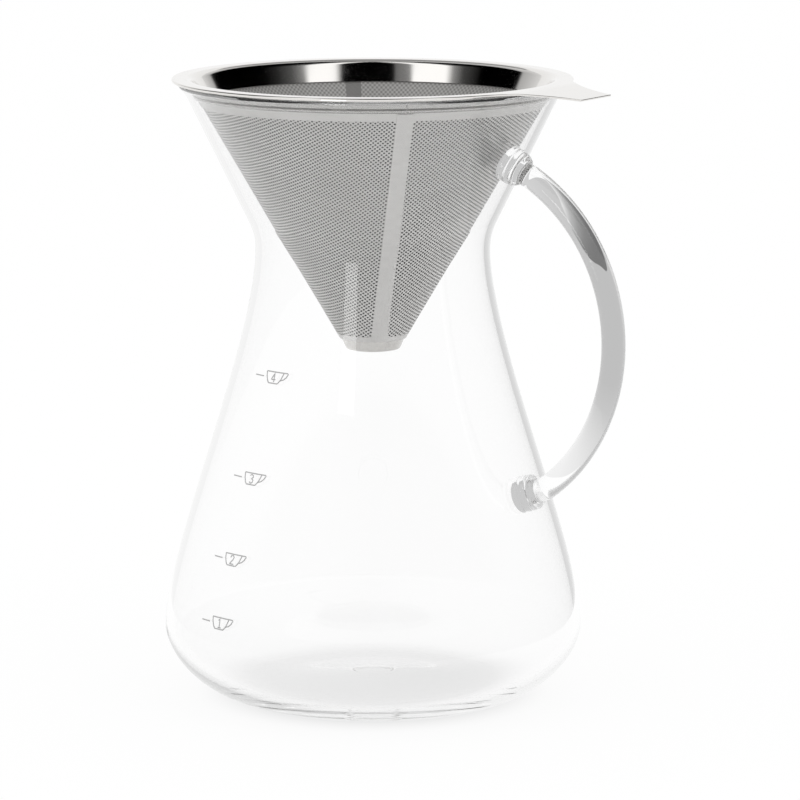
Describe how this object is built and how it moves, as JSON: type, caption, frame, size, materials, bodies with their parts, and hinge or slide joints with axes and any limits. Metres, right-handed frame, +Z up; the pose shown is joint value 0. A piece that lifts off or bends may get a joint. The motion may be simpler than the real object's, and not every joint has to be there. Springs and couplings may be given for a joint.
{
  "type": "coffee server carafe",
  "caption": "Hourglass glass coffee server with a welded glass rod handle and a lift-out double-layer steel cone filter with a rim and thumb tab.",
  "frame": {"origin": "centre of the base, on the table plane and on the axis of the glass", "axes": "+Z up along the axis of the glass, +X towards the handle and the filter's thumb tab"},
  "size_m": [0.1571, 0.1324, 0.1964],
  "materials": {
    "clear_glass": "clear blown borosilicate glass, fire polished",
    "polished_steel": "mirror-polished stainless steel",
    "perforated_steel": "etched stainless sheet, satin",
    "woven_steel": "fine woven stainless mesh",
    "pressed_steel": "pressed stainless cup, satin",
    "printed_enamel": "fired grey screen print"
  },
  "bodies": {
    "carafe": {"carafe_body": "clear_glass", "handle_rod": "clear_glass", "upper_handle_foot": "clear_glass", "lower_handle_foot": "clear_glass"},
    "filter": {"filter_collar": "polished_steel", "crimp_band": "polished_steel", "perforated_cone": "perforated_steel", "fine_mesh_liner": "woven_steel", "tip_cap": "pressed_steel"}
  },
  "joints": [
    {"name": "filter_lift", "type": "slide", "parent": "carafe", "child": "filter", "axis": [0, 0, 1], "range_m": [0, 0.1]}
  ]
}
